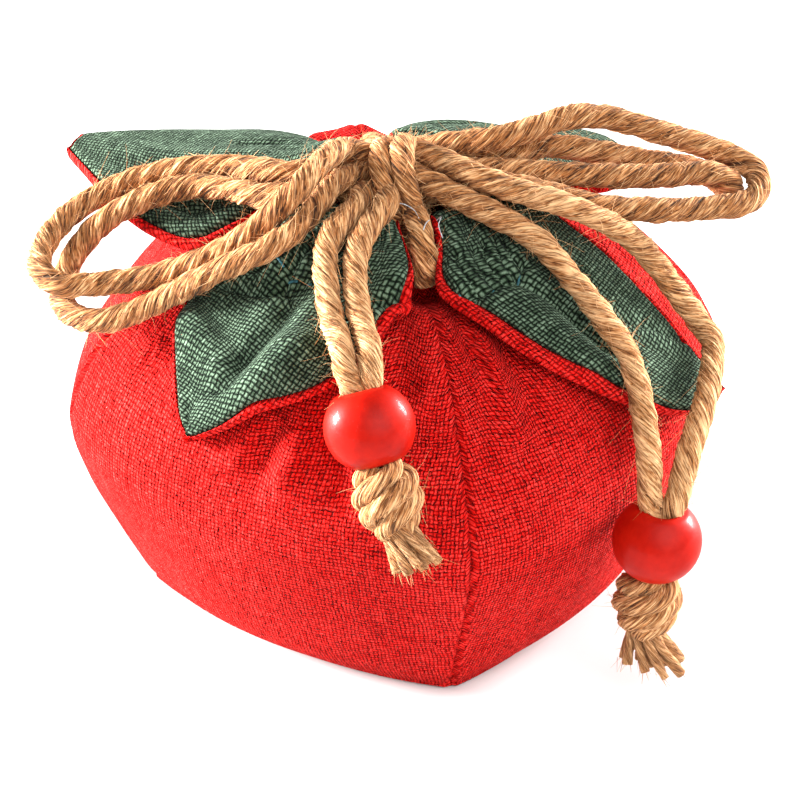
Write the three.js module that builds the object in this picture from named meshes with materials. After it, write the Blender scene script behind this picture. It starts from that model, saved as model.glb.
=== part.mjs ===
// Persimmon-shaped drawstring pouch: four red gores, four two-faced leaves round the neck, a doubled
// jute drawstring tied in a bow, and a bead, an overhand knot and a frayed tassel on each pair of tails.
// Millimetres, +Z up, origin on the floor under the neck. Azimuths are degrees from -Y towards +X.
import {
  BufferGeometry, CatmullRomCurve3, ExtrudeGeometry, Float32BufferAttribute, Group, LatheGeometry,
  MathUtils, Mesh, MeshStandardMaterial, Quaternion, Shape, Vector2, Vector3,
} from 'three';

// Body
const frontSeam = 12.6; // azimuth of the front seam, the other three follow at quarter turns
const goreHalf = 45; // degrees from the middle of a gore to its seams
const clothWall = 2; // a gore and its backing together
const seamGap = 0.3;
const goreRows = 20;
const goreColumns = 12;

// Leaves
const leafLayer = 1; // thickness of the green face and of the red back
const layerGap = 0.5;
const tipBorder = 0.9; // red back that shows past the green face at the tip
const leafLength = 60; // from the lip to the tip along the cloth
const leafRows = 12;
const leafColumns = 8;

// Cords, beads, knots and tassels
const cordDiameter = 3.5;
const cordSides = 8;
const beadRadius = 6.5;
const boreRadius = 3.2;
const stemRadius = 2.9; // the two strands squeezed through a bead
const latheSegments = 16;

const red = { color: 0xc8201f, roughness: 0.9, metalness: 0 };
const green = { color: 0x4f6b57, roughness: 0.9, metalness: 0 };
const jute = { color: 0xb98a55, roughness: 0.95, metalness: 0 };
const lacquer = { color: 0xc91a1c, roughness: 0.25, metalness: 0 };

// Sections of the body from the middle of the base up to the neck, seam is the radius at the four
// seams and mid the radius half way between two seams.
const bodySections = [
  { z: 0, seam: 0.8, mid: 0.8 },
  { z: 0, seam: 17, mid: 15 },
  { z: 0, seam: 36, mid: 29.5 },
  { z: 1.5, seam: 38.6, mid: 33.2 },
  { z: 6, seam: 41.1, mid: 37.6 },
  { z: 13, seam: 44.7, mid: 40.9 },
  { z: 22, seam: 48.5, mid: 44.3 },
  { z: 31, seam: 50.6, mid: 46.6 },
  { z: 40, seam: 47.6, mid: 44.4 },
  { z: 48, seam: 41.7, mid: 38.6 },
  { z: 54, seam: 35.2, mid: 31.2 },
  { z: 58, seam: 24.7, mid: 21.9 },
  { z: 60.2, seam: 14.6, mid: 13.8 },
  { z: 61.8, seam: 11.3, mid: 11 },
];

// Pleats and dents of the body, each a groove along azimuth + lean * (height - z).
const bodyFolds = [
  { azimuth: 20, z: 55, depth: 1.3, width: 4, height: 9, lean: -0.3 },
  { azimuth: 31, z: 55, depth: 1.2, width: 5, height: 9, lean: -0.5 },
  { azimuth: 75, z: 52, depth: 1, width: 7, height: 9, lean: 0 },
  { azimuth: -14, z: 46, depth: 1, width: 5, height: 9, lean: 0.2 },
  { azimuth: -29, z: 43, depth: 1.1, width: 5, height: 8, lean: 0.1 },
  { azimuth: -62, z: 49, depth: 1.2, width: 6, height: 8, lean: 0.8 },
  { azimuth: -97, z: 52, depth: 1.1, width: 7, height: 9, lean: -0.4 },
  { azimuth: -140, z: 52, depth: 1.2, width: 7, height: 9, lean: 0.2 },
  { azimuth: 170, z: 52, depth: 1.1, width: 7, height: 9, lean: -0.2 },
  { azimuth: 128, z: 52, depth: 1.1, width: 7, height: 9, lean: 0.3 },
];

// The gathered lip of the neck that every leaf starts from.
const neckSections = [
  { radius: 11.5, z: 62.3 },
  { radius: 11.4, z: 64.6 },
  { radius: 13.6, z: 66.4 },
];

// Sections of each leaf from the lip out to its tip: radius and height of its middle, azimuth and
// height of its two edges. neck is the pair of azimuths that it fills at the lip, lipDrop how much
// lower the lip is at its two edges, and flange the width of red back past the green face there.
const leaves = {
  front_left: {
    neck: [-75, 2.6],
    lipDrop: [0, 0],
    flange: [0.9, 1.9],
    sections: [
      { radius: 18, z: 66, from: -63, fromZ: 65, to: 5.5, toZ: 65.5 },
      { radius: 24, z: 63.8, from: -62, fromZ: 62.5, to: 6, toZ: 63 },
      { radius: 30, z: 60, from: -64, fromZ: 58.2, to: -2, toZ: 59.4 },
      { radius: 36, z: 55, from: -60.5, fromZ: 53.4, to: -12, toZ: 54.2 },
      { radius: 40, z: 50, from: -53, fromZ: 49.2, to: -25, toZ: 49.6 },
      { radius: 43.6, z: 45, from: -46, fromZ: 45, to: -36, toZ: 45 },
      { radius: 45.6, z: 42, from: -43, fromZ: 42, to: -39.4, toZ: 42 },
    ],
    folds: [
      { across: -0.3, width: 0.28, depth: 1.3, start: 0.45, end: 0.95 },
      { across: 0.55, width: 0.2, depth: 0.6, start: 0.3, end: 0.6 },
    ],
  },
  front_right: {
    neck: [22.6, 100],
    lipDrop: [0, 0],
    flange: [2.6, 1.2],
    sections: [
      { radius: 18, z: 65.6, from: 19.5, fromZ: 64.4, to: 86, toZ: 64.5 },
      { radius: 24, z: 63.2, from: 14.4, fromZ: 61.8, to: 79, toZ: 62.5 },
      { radius: 30, z: 59.4, from: 24.7, fromZ: 58.4, to: 77, toZ: 59 },
      { radius: 36, z: 54.7, from: 34, fromZ: 54, to: 75, toZ: 54.2 },
      { radius: 42, z: 48.8, from: 44.7, fromZ: 48.2, to: 74, toZ: 48.2 },
      { radius: 47, z: 43, from: 55.5, fromZ: 42.6, to: 73, toZ: 42.6 },
      { radius: 50.6, z: 39, from: 65, fromZ: 38.8, to: 72.5, toZ: 38.8 },
    ],
    folds: [
      { across: -0.35, width: 0.22, depth: 0.8, start: 0.3, end: 0.8 },
      { across: 0.15, width: 0.22, depth: 0.8, start: 0.3, end: 0.85 },
    ],
  },
  back_left: {
    neck: [-157.4, -80],
    lipDrop: [2.4, 0],
    flange: [0.9, 1.8],
    sections: [
      { radius: 18, z: 65, from: -150, fromZ: 61.5, to: -80, toZ: 64.4 },
      { radius: 24, z: 64.4, from: -148, fromZ: 60, to: -74, toZ: 62 },
      { radius: 30, z: 63.4, from: -144, fromZ: 58.6, to: -73, toZ: 59.6 },
      { radius: 36, z: 62.2, from: -136, fromZ: 57.8, to: -82.5, toZ: 59.4 },
      { radius: 42, z: 61.2, from: -128.5, fromZ: 57.8, to: -93.5, toZ: 60 },
      { radius: 48, z: 60.2, from: -121, fromZ: 58.6, to: -104, toZ: 60 },
      { radius: 53.2, z: 59.6, from: -115.5, fromZ: 59.4, to: -110.5, toZ: 59.5 },
    ],
    folds: [
      { across: 0.4, width: 0.25, depth: 1, start: 0.3, end: 0.85 },
      { across: -0.35, width: 0.25, depth: 0.9, start: 0.3, end: 0.8 },
    ],
  },
  back_right: {
    neck: [105.2, 182.2],
    lipDrop: [0, 1.2],
    flange: [0.9, 0.9],
    sections: [
      { radius: 18, z: 65, from: 109, fromZ: 64.4, to: 184, toZ: 62 },
      { radius: 23, z: 63.4, from: 107, fromZ: 62, to: 177, toZ: 60.2 },
      { radius: 27, z: 61.6, from: 106, fromZ: 60.4, to: 167, toZ: 58.9 },
      { radius: 30.5, z: 60.2, from: 107, fromZ: 59, to: 152, toZ: 58 },
      { radius: 34.5, z: 59, from: 109, fromZ: 58, to: 145, toZ: 57.6 },
      { radius: 38.4, z: 58.2, from: 114, fromZ: 57.4, to: 137, toZ: 57.2 },
      { radius: 41, z: 57.4, from: 122, fromZ: 57.2, to: 128, toZ: 57.2 },
    ],
    folds: [
      { across: -0.3, width: 0.25, depth: 0.9, start: 0.3, end: 0.8 },
      { across: 0.35, width: 0.25, depth: 0.9, start: 0.3, end: 0.8 },
    ],
  },
};

// Bow: the wrap round the crossing strands, and the routes of the strands that leave it.
const bowCentre = new Vector3(-1.2, -3, 68.5);
const bowTilt = 15; // degrees, the right end of the wrap's axis is the higher one
const wrapRadius = 5.4; // outside of the two turns of the wrap
const wrapFace = 3; // radius of the flat part of its two ends
const wrapHalf = 3.4; // from its middle to those flat parts
const wrapDip = 0.4; // radians that the turns round inwards past their sides
const cordRoutes = {
  lead_front_a: {
    steps: 2,
    points: [[2.1, -9.7, 67.5], [2.9, -12.8, 67.7], [3.7, -16.6, 66.3]],
  },
  lead_front_b: {
    steps: 3,
    points: [[0.9, -5.4, 61.4], [1.7, -7.8, 63.5], [2.6, -11.6, 64], [3.6, -16.2, 62.6]],
  },
  lead_back_a: {
    steps: 2,
    points: [[-1.6, 4.7, 68.1], [-4.9, 5.6, 66.4], [-6, 5.1, 62.9]],
  },
  lead_back_b: {
    steps: 2,
    points: [[-0.7, 2.6, 64], [-2.4, 11.4, 64.1], [-3.6, 16.2, 62.6]],
  },
  loop_left_a: {
    steps: 18,
    points: [
      [-6.1, 0.8, 68], [-8.4, 0.2, 69.8], [-14, -4.5, 70.1], [-19.8, -2.2, 69.2], [-25.2, 1.3, 67.6],
      [-32.8, 3.2, 65.9], [-38.9, 3.2, 64.2], [-43.9, 1.9, 62.4], [-48.3, -0.6, 60.6], [-51.1, -4.2, 59.2],
      [-52.4, -8.4, 58.2], [-51.9, -12.5, 57.8], [-49.4, -15.1, 57.4], [-46.3, -14.8, 57.2],
      [-40.5, -14.9, 57.8], [-34.8, -15.4, 59.2], [-28.9, -16.1, 61.9], [-24.2, -16.5, 64.8],
      [-18.9, -16.6, 69.3], [-14.3, -14.6, 73.4], [-10.8, -9.6, 75], [-7.2, -1.8, 72.6],
    ],
  },
  loop_left_b: {
    steps: 18,
    points: [
      [-5.6, -3.2, 64.2], [-7.4, -3.9, 67], [-9.6, -5.8, 69.4], [-14, -9, 69.6], [-19.1, -8.2, 68.4],
      [-25.1, -3.9, 67.1], [-30.4, -1.3, 65.8], [-35.4, -1.2, 64.4], [-39.6, -1.7, 62.6],
      [-43.1, -2.5, 60.6], [-45.9, -3.8, 58.2], [-47.9, -5.2, 55.7], [-49.2, -7.2, 53.4], [-49.4, -10.2, 52.2],
      [-48.4, -13.4, 51.9], [-46, -16.2, 52.2], [-42.4, -17.9, 53], [-38.7, -18.4, 54.6], [-35, -18.8, 56.7],
      [-29.9, -19.9, 60.4], [-24.7, -20.7, 64], [-19.2, -21, 67], [-14, -17.5, 69], [-9, -9.4, 71.2],
      [-6.6, -5.8, 70.2],
    ],
  },
  loop_right_a: {
    steps: 18,
    points: [
      [2.5, 0.2, 71.2], [6.5, -0.2, 72.2], [10.5, -0.9, 73.2], [14, -0.9, 73.6], [19.6, 1, 74.2],
      [25.4, 4.1, 74.5], [31.1, 5.8, 73.5], [36, 5.8, 72], [46.2, 6.1, 68.2], [50.8, 5.6, 66.5],
      [53.5, 3.3, 65.2], [53.7, 0.3, 64.5], [51.9, -2.7, 64], [45.8, -5, 64.4], [39.2, -7.2, 65.4],
      [32.8, -8, 66.2], [28.8, -8.4, 67], [21.1, -7.8, 69], [15.2, -6.9, 69.8],
      [10.5, -6.6, 69.7], [6.5, -6.2, 68.4], [3.6, -6.1, 67.6],
    ],
  },
  loop_right_b: {
    steps: 17,
    points: [
      [3.4, 0.2, 67.8], [6.5, 0.8, 68.7], [10.9, 1.1, 70], [16.8, 1.4, 70.1], [22.5, 3, 70.2],
      [29.2, 3.7, 68.9], [36.1, 4.8, 66.7], [43, 6.5, 64.6], [46.4, 6.7, 63.2], [48.6, 5.3, 62.2],
      [49.8, 2.9, 63], [49.3, 1.4, 65.2], [46.3, 0.9, 66.8], [39.4, -1, 67.5], [33, -2.6, 68.4], [23.3, -3.4, 69.4],
      [16.2, -2.9, 69.6], [10.5, -2.8, 69.4], [6.5, -2.9, 67.3], [3.9, -3, 66],
    ],
  },
  tail_left_a: {
    steps: 7,
    points: [
      [-4.6, -8.9, 69.4], [-5.6, -13.4, 70], [-7.8, -17.2, 69.7], [-9.6, -20.4, 68.5],
      [-10.2, -23.6, 67], [-9.9, -27.6, 64.8], [-8.9, -32.4, 61.7], [-7.9, -36.6, 61.2],
      [-7.4, -39.8, 60.4], [-7.2, -42, 58.1],
    ],
  },
  tail_left_b: {
    steps: 7,
    points: [
      [-0.8, -8.9, 70.2], [-1.5, -14, 70.4], [-3.8, -18.3, 69.6], [-5.5, -22.2, 68],
      [-5.8, -27.4, 65.1], [-4.9, -32.4, 62.2], [-4, -36.6, 61.4], [-3.6, -39.6, 60.6],
      [-3.4, -41.6, 59.2],
    ],
  },
  tail_right_a: {
    steps: 8,
    points: [
      [2.9, -7.2, 71.2], [6.5, -10.4, 71.1], [12, -13.2, 69.6], [16.6, -14.8, 67.9], [21.2, -16.9, 65.6],
      [24.8, -19.8, 62.5], [27.7, -22, 59.8], [30.5, -24.3, 56.8], [33.2, -26, 53.5],
      [35, -29, 49.4], [36, -32.5, 45.2], [36.7, -35.6, 40], [36.9, -37.1, 34.6],
    ],
  },
  tail_right_b: {
    steps: 10,
    points: [
      [2.4, -3.1, 73.1], [6.2, -6.1, 73.5], [10.4, -9.2, 73.2], [14.9, -11.2, 72.2], [19.5, -12.5, 71.3],
      [23.8, -13.1, 70.3], [28.6, -12.9, 68], [32.7, -11.6, 64.8], [36.5, -9.6, 60], [41.2, -10.4, 53.6],
      [44.6, -11.6, 49], [46.6, -14.6, 47.2], [46.3, -20, 45.8], [45, -26.2, 43.8],
      [42.6, -32.5, 39.8], [40.8, -37.1, 34.6],
    ],
  },
};

// Hanging pieces of each tail: bead centre and the direction of the cord below it.
const pendants = {
  left: { bead: new Vector3(-3.7, -44.8, 52.5), down: new Vector3(0.25, -0.46, -0.85) },
  right: { bead: new Vector3(38.1, -37.5, 27.6), down: new Vector3(-0.12, -0.06, -1) },
};

// Profiles of a knot and a tassel along the cord, along is measured up from the bead's centre.
const knotProfile = [
  { radius: 0, along: 5.9 },
  { radius: stemRadius, along: 5.9 },
  { radius: stemRadius, along: -6.3 },
  { radius: 4.2, along: -7.6 },
  { radius: 4.8, along: -9.8 },
  { radius: 4.6, along: -12 },
  { radius: 3.6, along: -14 },
  { radius: 2.6, along: -14.9 },
  { radius: 0, along: -14.9 },
];
const tasselProfile = [
  { radius: 0, along: -15.2 },
  { radius: 2.5, along: -15.2 },
  { radius: 3, along: -17.2 },
  { radius: 4, along: -19.6 },
  { radius: 4.3, along: -21.4 },
  { radius: 0, along: -21.4 },
];

function polar(azimuth, radius, z) {
  const angle = MathUtils.degToRad(azimuth);
  return new Vector3(radius * Math.sin(angle), -radius * Math.cos(angle), z);
}

// Smooth value of one column of a table, t runs from the first row (0) to the last (1).
function column(rows, key, t) {
  const last = rows.length - 1;
  const place = MathUtils.clamp(t, 0, 1) * last;
  const i = Math.min(Math.floor(place), last - 1);
  const f = place - i;
  const value = (k) => rows[MathUtils.clamp(k, 0, last)][key];
  const [before, a, b, after] = [value(i - 1), value(i), value(i + 1), value(i + 2)];
  const leave = (b - before) / 2;
  const arrive = (after - a) / 2;
  return (2 * f ** 3 - 3 * f ** 2 + 1) * a + (f ** 3 - 2 * f ** 2 + f) * leave
    + (3 * f ** 2 - 2 * f ** 3) * b + (f ** 3 - f ** 2) * arrive;
}

function bell(distance, width) {
  return Math.exp(-((distance / width) ** 2));
}

function foldDepth(azimuth, z) {
  return bodyFolds.reduce((sum, fold) => {
    const line = fold.azimuth + fold.lean * (fold.z - z);
    const aside = MathUtils.euclideanModulo(azimuth - line + 180, 360) - 180;
    return sum + fold.depth * bell(aside, fold.width) * bell(z - fold.z, fold.height);
  }, 0);
}

// Radius and height of the body's outside, across runs from -1 to 1 between a gore's two seams.
function bodyProfile(azimuth, across, t) {
  const z = Math.max(0, column(bodySections, 'z', t));
  const mid = column(bodySections, 'mid', t);
  const seam = column(bodySections, 'seam', t);
  const radius = mid + (seam - mid) * across ** 2;
  return new Vector2(radius - foldDepth(azimuth, z) * (1 - across ** 6), z);
}

// Closed wall between two grids of points, outside[i][j] and inside[i][j], i along and j across.
function wallGeometry(outside, inside) {
  const rows = outside.length;
  const columns = outside[0].length;
  const position = [...outside.flat(), ...inside.flat()].flatMap((p) => p.toArray());
  const out = (i, j) => i * columns + j;
  const inn = (i, j) => rows * columns + i * columns + j;
  const index = [];
  const quad = (a, b, c, d) => index.push(a, b, c, a, c, d);
  for (let i = 0; i < rows - 1; i += 1) {
    for (let j = 0; j < columns - 1; j += 1) {
      quad(out(i, j), out(i, j + 1), out(i + 1, j + 1), out(i + 1, j));
      quad(inn(i, j), inn(i + 1, j), inn(i + 1, j + 1), inn(i, j + 1));
    }
    quad(out(i, 0), out(i + 1, 0), inn(i + 1, 0), inn(i, 0));
    quad(out(i + 1, columns - 1), out(i, columns - 1), inn(i, columns - 1), inn(i + 1, columns - 1));
  }
  for (let j = 0; j < columns - 1; j += 1) {
    quad(out(0, j + 1), out(0, j), inn(0, j), inn(0, j + 1));
    quad(out(rows - 1, j), out(rows - 1, j + 1), inn(rows - 1, j + 1), inn(rows - 1, j));
  }
  const geometry = new BufferGeometry();
  geometry.setAttribute('position', new Float32BufferAttribute(position, 3));
  geometry.setIndex(index);
  return geometry;
}

function grid(rows, columns, pointAt) {
  return Array.from({ length: rows + 1 }, (_, i) => (
    Array.from({ length: columns + 1 }, (__, j) => pointAt(i / rows, (2 * j) / columns - 1))));
}

// One gore, its wall is measured square to the body's profile, inside the plane of each azimuth.
function goreGeometry(centre) {
  const profileStep = 0.01;
  const azimuthAt = (t, across) => {
    const seam = column(bodySections, 'seam', t);
    const trim = MathUtils.radToDeg(Math.asin(seamGap / 2 / seam));
    return centre + across * (goreHalf - trim);
  };
  const outsideAt = (t, across) => {
    const azimuth = azimuthAt(t, across);
    const { x: radius, y: z } = bodyProfile(azimuth, across, t);
    return polar(azimuth, radius, z);
  };
  const insideAt = (t, across) => {
    const azimuth = azimuthAt(t, across);
    const here = bodyProfile(azimuth, across, t);
    const along = bodyProfile(azimuth, across, Math.min(1, t + profileStep))
      .sub(bodyProfile(azimuth, across, Math.max(0, t - profileStep))).normalize();
    return polar(azimuth, here.x - along.y * clothWall, here.y + along.x * clothWall);
  };
  return wallGeometry(grid(goreRows, goreColumns, outsideAt), grid(goreRows, goreColumns, insideAt));
}

function leafSections(leaf) {
  const [from, to] = leaf.neck;
  const lip = neckSections.map(({ radius, z }, k) => {
    const [fromZ, toZ] = leaf.lipDrop.map((drop) => z - (drop * k) / (neckSections.length - 1));
    return { radius, z, from, fromZ, to, toZ };
  });
  return [...lip, ...leaf.sections];
}

// Point of a leaf's middle surface, trimmed narrows it by its flanges and at the tip.
function leafPoint(leaf, sections, t, across, trimmed) {
  const reach = trimmed ? t * (1 - tipBorder / leafLength) : t;
  const [radius, z, from, fromZ, to, toZ] = ['radius', 'z', 'from', 'fromZ', 'to', 'toZ']
    .map((key) => column(sections, key, reach));
  const room = MathUtils.degToRad(to - from) * radius;
  const [left, right] = leaf.flange.map((width) => (
    trimmed ? MathUtils.radToDeg(Math.min(width, room / 3) / radius) : 0));
  const azimuth = MathUtils.lerp(from + left, to - right, (across + 1) / 2);
  const side = (2 * (azimuth - from)) / (to - from) - 1;
  const edge = side < 0 ? fromZ - z : toZ - z;
  const dip = leaf.folds.reduce((sum, fold) => {
    const middle = (fold.start + fold.end) / 2;
    const half = (fold.end - fold.start) / 2;
    return sum + fold.depth * bell(side - fold.across, fold.width) * bell(reach - middle, half);
  }, 0);
  return polar(azimuth, radius, z + edge * side ** 2 - dip);
}

// One layer of a leaf between two distances from its middle surface, positive towards the red side.
function leafGeometry(leaf, outer, inner, trimmed) {
  const sections = leafSections(leaf);
  const step = 0.02;
  const at = (t, across) => leafPoint(leaf, sections, t, across, trimmed);
  const shifted = (distance) => (t, across) => {
    const [low, high] = [Math.max(0, t - step), Math.min(1, t + step)];
    const [left, right] = [Math.max(-1, across - step), Math.min(1, across + step)];
    const along = at(high, across).sub(at(low, across));
    const side = at(t, right).sub(at(t, left));
    return at(t, across).addScaledVector(side.cross(along).normalize(), distance);
  };
  const layer = (distance) => grid(leafRows, leafColumns, shifted(distance));
  return wallGeometry(layer(outer), layer(inner));
}

function cordGeometry({ points, steps }) {
  const section = new Shape(Array.from({ length: cordSides }, (_, k) => {
    const angle = (2 * Math.PI * k) / cordSides;
    return new Vector2(Math.cos(angle), Math.sin(angle)).multiplyScalar(cordDiameter / 2);
  }));
  const extrudePath = new CatmullRomCurve3(points.map((p) => new Vector3(...p)));
  return new ExtrudeGeometry(section, { steps, extrudePath, bevelEnabled: false });
}

// Solid of revolution, its profile is listed from the top down.
function latheGeometry(profile) {
  const points = profile.map(({ radius, along }) => new Vector2(radius, along));
  return new LatheGeometry(points.reverse(), latheSegments);
}

function beadProfile() {
  const arcSteps = 9;
  const first = Math.asin(boreRadius / beadRadius);
  const arc = Array.from({ length: arcSteps + 1 }, (_, k) => {
    const angle = MathUtils.lerp(first, Math.PI - first, k / arcSteps);
    return { radius: beadRadius * Math.sin(angle), along: beadRadius * Math.cos(angle) };
  });
  return [...arc, arc[0]];
}

// The wrap of the bow: two turns of cord side by side, as a barrel along X.
function wrapProfile() {
  const turnSteps = 6;
  const turn = cordDiameter / 2;
  const rise = wrapRadius - turn;
  const bumps = [1, -1].flatMap((side) => Array.from({ length: turnSteps + 1 }, (_, k) => {
    const angle = MathUtils.lerp(-wrapDip, Math.PI + wrapDip, k / turnSteps);
    return { radius: rise + turn * Math.sin(angle), along: side * turn + turn * Math.cos(angle) };
  }));
  return [{ radius: 0, along: wrapHalf }, { radius: wrapFace, along: wrapHalf }, ...bumps,
    { radius: wrapFace, along: -wrapHalf }, { radius: 0, along: -wrapHalf }];
}

const pouch = new Group();

function add(name, geometry, finish) {
  const mesh = new Mesh(geometry, new MeshStandardMaterial(finish));
  mesh.name = name;
  pouch.add(mesh);
  return mesh;
}

const goreCentres = {
  front_left: frontSeam - goreHalf,
  front_right: frontSeam + goreHalf,
  back_left: frontSeam - 3 * goreHalf,
  back_right: frontSeam + 3 * goreHalf,
};
for (const [place, centre] of Object.entries(goreCentres)) {
  add(`panel_${place}`, goreGeometry(centre), red);
}

for (const [place, leaf] of Object.entries(leaves)) {
  const near = layerGap / 2;
  add(`leaf_${place}_face`, leafGeometry(leaf, -near, -near - leafLayer, true), green);
  add(`leaf_${place}_back`, leafGeometry(leaf, near + leafLayer, near, false), red);
}

const wrap = add('bow_knot', latheGeometry(wrapProfile()), jute);
wrap.position.copy(bowCentre);
wrap.rotation.set(0, MathUtils.degToRad(-bowTilt), -Math.PI / 2);

for (const [name, route] of Object.entries(cordRoutes)) {
  add(name, cordGeometry(route), jute);
}

for (const [side, { bead, down }] of Object.entries(pendants)) {
  const turn = new Quaternion().setFromUnitVectors(new Vector3(0, -1, 0), down.clone().normalize());
  const pieces = [
    add(`bead_${side}`, latheGeometry(beadProfile()), lacquer),
    add(`knot_${side}`, latheGeometry(knotProfile), jute),
    add(`tassel_${side}`, latheGeometry(tasselProfile), jute),
  ];
  for (const piece of pieces) {
    piece.position.copy(bead);
    piece.quaternion.copy(turn);
  }
}

export default pouch;
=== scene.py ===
import math

import bpy
import numpy as np
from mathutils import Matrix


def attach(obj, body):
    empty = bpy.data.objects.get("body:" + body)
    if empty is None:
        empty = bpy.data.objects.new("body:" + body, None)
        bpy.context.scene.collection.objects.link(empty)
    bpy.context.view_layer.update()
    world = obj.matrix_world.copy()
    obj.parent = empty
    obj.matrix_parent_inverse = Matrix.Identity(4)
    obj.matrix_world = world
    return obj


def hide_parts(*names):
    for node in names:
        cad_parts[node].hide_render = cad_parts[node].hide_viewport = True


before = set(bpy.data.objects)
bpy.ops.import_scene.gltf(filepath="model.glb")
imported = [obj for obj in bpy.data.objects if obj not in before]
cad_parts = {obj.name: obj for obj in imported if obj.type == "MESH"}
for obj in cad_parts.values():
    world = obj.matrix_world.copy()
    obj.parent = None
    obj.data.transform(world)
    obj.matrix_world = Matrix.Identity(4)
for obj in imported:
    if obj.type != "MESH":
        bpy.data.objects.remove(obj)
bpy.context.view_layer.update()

mm = 0.001  # all tables below are in millimetres, azimuths are degrees from -Y towards +X
chance = np.random.default_rng(12)
scene = bpy.context.scene


def bell(distance, width):
    return np.exp(-((distance / width) ** 2))


def smoothStep(value, low, high):
    f = np.clip((value - low) / (high - low), 0, 1)
    return f * f * (3 - 2 * f)


def unit(vectors):
    return vectors / np.maximum(np.linalg.norm(vectors, axis=-1, keepdims=True), 1e-9)


def polar(azimuth, radius, z):
    angle = np.radians(azimuth)
    return np.stack(np.broadcast_arrays(radius * np.sin(angle), -radius * np.cos(angle), z), -1)


# cubic from a to b with the given slopes at its ends
def hermite(f, a, b, leave, arrive):
    return ((2 * f ** 3 - 3 * f ** 2 + 1) * a + (f ** 3 - 2 * f ** 2 + f) * leave
            + (3 * f ** 2 - 2 * f ** 3) * b + (f ** 3 - f ** 2) * arrive)


# smooth value of a table column, t runs from the first row (0) to the last (1)
def column(values, t):
    v = np.asarray(values, float)
    last = len(v) - 1
    place = np.clip(t, 0, 1) * last
    i = np.minimum(place.astype(int), last - 1)
    before, a, b, after = v[np.maximum(i - 1, 0)], v[i], v[i + 1], v[np.minimum(i + 2, last)]
    return hermite(place - i, a, b, (b - before) / 2, (after - a) / 2)


# length of a line of points up to each of them
def arcLength(points):
    return np.concatenate([[0], np.cumsum(np.linalg.norm(np.diff(points, axis=0), axis=1))])


def addObject(name, data):
    thing = bpy.data.objects.new(name, data)
    scene.collection.objects.link(thing)
    return thing


# camera

view = {"elevation": 34, "distance": 750, "target": (0.62, 0, 26.93), "lens": 221.74, "sensor": 36}


def placeCamera():
    data = bpy.data.cameras.new("photoView")
    data.sensor_width = view["sensor"]
    data.lens = view["lens"]
    data.clip_start, data.clip_end = 0.05, 20
    camera = addObject("photoView", data)
    lift = math.radians(view["elevation"])
    x, y, z = view["target"]
    far = view["distance"]
    camera.location = (x * mm, (y - far * math.cos(lift)) * mm, (z + far * math.sin(lift)) * mm)
    camera.rotation_euler = (math.pi / 2 - lift, 0, 0)
    scene.camera = camera


placeCamera()
print("camera placed")


# node helpers

# a shader value that can stand in a sum
class Wire:
    def __init__(self, tree, socket):
        self.tree, self.socket = tree, socket

    def calc(self, operation, other=0.0):
        node = self.tree.nodes.new("ShaderNodeMath")
        node.operation = operation
        plug(self.tree, node.inputs[0], self)
        plug(self.tree, node.inputs[1], other)
        return Wire(self.tree, node.outputs[0])

    def __add__(self, other):
        return self.calc("ADD", other)

    def __sub__(self, other):
        return self.calc("SUBTRACT", other)

    def __mul__(self, other):
        return self.calc("MULTIPLY", other)


def plug(tree, socket, value):
    if isinstance(value, Wire):
        tree.links.new(value.socket, socket)
    else:
        socket.default_value = value


def addNode(tree, kind, output, **inputs):
    node = tree.nodes.new(kind)
    for key, value in inputs.items():
        plug(tree, node.inputs[key], value)
    return Wire(tree, node.outputs[output])


def joinXyz(tree, x, y, z=0.0):
    return addNode(tree, "ShaderNodeCombineXYZ", 0, X=x, Y=y, Z=z)


def noise(tree, place, scale, detail=2.0, rough=0.5):
    return addNode(tree, "ShaderNodeTexNoise", "Fac", Vector=place, Scale=scale, Detail=detail, Roughness=rough)


def bump(tree, height, distance, **under):
    return addNode(tree, "ShaderNodeBump", "Normal", Height=height, Distance=distance, Strength=1.0, **under)


def ramp(tree, factor, stops):
    node = tree.nodes.new("ShaderNodeValToRGB")
    band = node.color_ramp
    while len(band.elements) < len(stops):
        band.elements.new(0.5)
    for element, (place, colour) in zip(band.elements, stops):
        element.position = place
        element.color = (*colour, 1)
    plug(tree, node.inputs["Fac"], factor)
    return Wire(tree, node.outputs["Color"])


def uvParts(tree, layer):
    node = tree.nodes.new("ShaderNodeUVMap")
    node.uv_map = layer
    uv = Wire(tree, node.outputs["UV"])
    u, v = (addNode(tree, "ShaderNodeSeparateXYZ", k, Vector=uv) for k in (0, 1))
    return uv, u, v


def newMaterial(name):
    material = bpy.data.materials.new(name)
    material.use_nodes = True
    return material, material.node_tree


def setShader(material, values):
    shader = material.node_tree.nodes["Principled BSDF"]
    for key, value in values.items():
        plug(material.node_tree, shader.inputs[key], value)
    return material


# mesh helpers

# one piece from points in mm, faces, and a texture coordinate for each face corner
def makePiece(name, points, faces, cornerUv, layer, material, groove=None):
    mesh = bpy.data.meshes.new(name)
    mesh.from_pydata((points * mm).tolist(), [], faces)
    mesh.uv_layers.new(name=layer).uv.foreach_set("vector", cornerUv.astype(np.float32).ravel())
    if groove is not None:
        mesh.attributes.new("groove", "FLOAT", "POINT").data.foreach_set("value", groove.astype(np.float32))
    mesh.polygons.foreach_set("use_smooth", np.ones(len(mesh.polygons), bool))
    mesh.materials.append(material)
    mesh.update()
    piece = addObject(name, mesh)
    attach(piece, "root")
    return piece


def gridQuads(rows, columns, start=0, flip=False):
    i, j = np.meshgrid(np.arange(rows - 1), np.arange(columns - 1), indexing="ij")
    a = (start + i * columns + j).ravel()
    quads = np.stack([a, a + 1, a + columns + 1, a + columns], -1)
    return quads[:, ::-1] if flip else quads


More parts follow.
